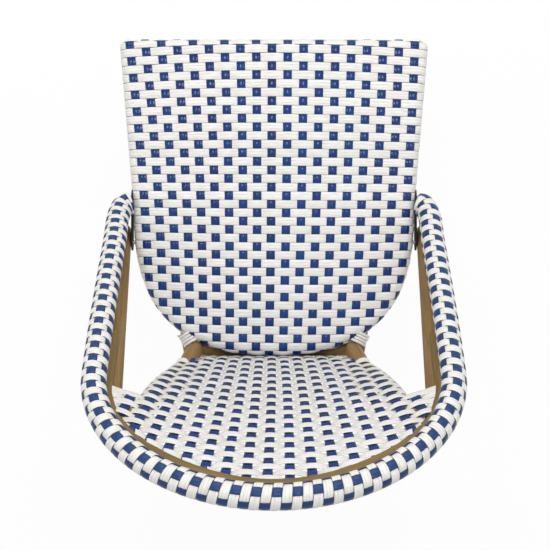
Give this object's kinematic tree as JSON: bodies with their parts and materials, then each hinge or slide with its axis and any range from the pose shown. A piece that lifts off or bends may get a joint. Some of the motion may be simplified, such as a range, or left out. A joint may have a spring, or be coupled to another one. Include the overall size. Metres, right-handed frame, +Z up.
{
  "type": "bistro chair",
  "caption": "Armless-style bistro chair: tube frame, flat woven seat, concave woven back and a wrapped hoop that sweeps from the seat sides up round the back",
  "frame": {"origin": "on the floor under the middle of the chair's bounding box", "axes": "+Z up, -Y the way the sitter faces, +X the sitter's left"},
  "size_m": [0.499, 0.6308, 0.8416],
  "materials": {
    "cane_tube": "satin coating printed like brown cane",
    "white_strand": "flat ribbed plastic strand, off-white, softly glossy",
    "bare_tube": "plain mill finish",
    "black_plastic": "moulded, matt black",
    "black_steel": "satin black coating",
    "zinc_steel": "zinc plated"
  },
  "bodies": {
    "root": {"seat_frame": "cane_tube", "seat_weave": "white_strand", "seat_bar_front": "bare_tube", "seat_bar_rear": "bare_tube", "back_cross_rail": "cane_tube", "rear_bolt": "zinc_steel", "back_ring": "cane_tube", "back_weave": "white_strand", "hoop_tube": "bare_tube", "hoop_wrap": "white_strand", "cross_stretcher": "cane_tube", "ring_screw_left": "zinc_steel", "ring_screw_rear": "zinc_steel", "ring_screw_right": "zinc_steel", "front_leg_left": "cane_tube", "rear_leg_left": "cane_tube", "front_glide_left": "black_plastic", "rear_glide_left": "black_plastic", "side_stretcher_left": "cane_tube", "front_brace_left": "cane_tube", "side_brace_left": "cane_tube", "rear_brace_left": "cane_tube", "upright_left": "cane_tube", "upright_plug_left": "black_plastic", "side_plate_left": "black_steel", "hoop_bolt_left": "zinc_steel", "upright_bolt_left": "zinc_steel", "front_leg_right": "cane_tube", "rear_leg_right": "cane_tube", "front_glide_right": "black_plastic", "rear_glide_right": "black_plastic", "side_stretcher_right": "cane_tube", "front_brace_right": "cane_tube", "side_brace_right": "cane_tube", "rear_brace_right": "cane_tube", "upright_right": "cane_tube", "upright_plug_right": "black_plastic", "side_plate_right": "black_steel", "hoop_bolt_right": "zinc_steel", "upright_bolt_right": "zinc_steel"}
  },
  "joints": []
}
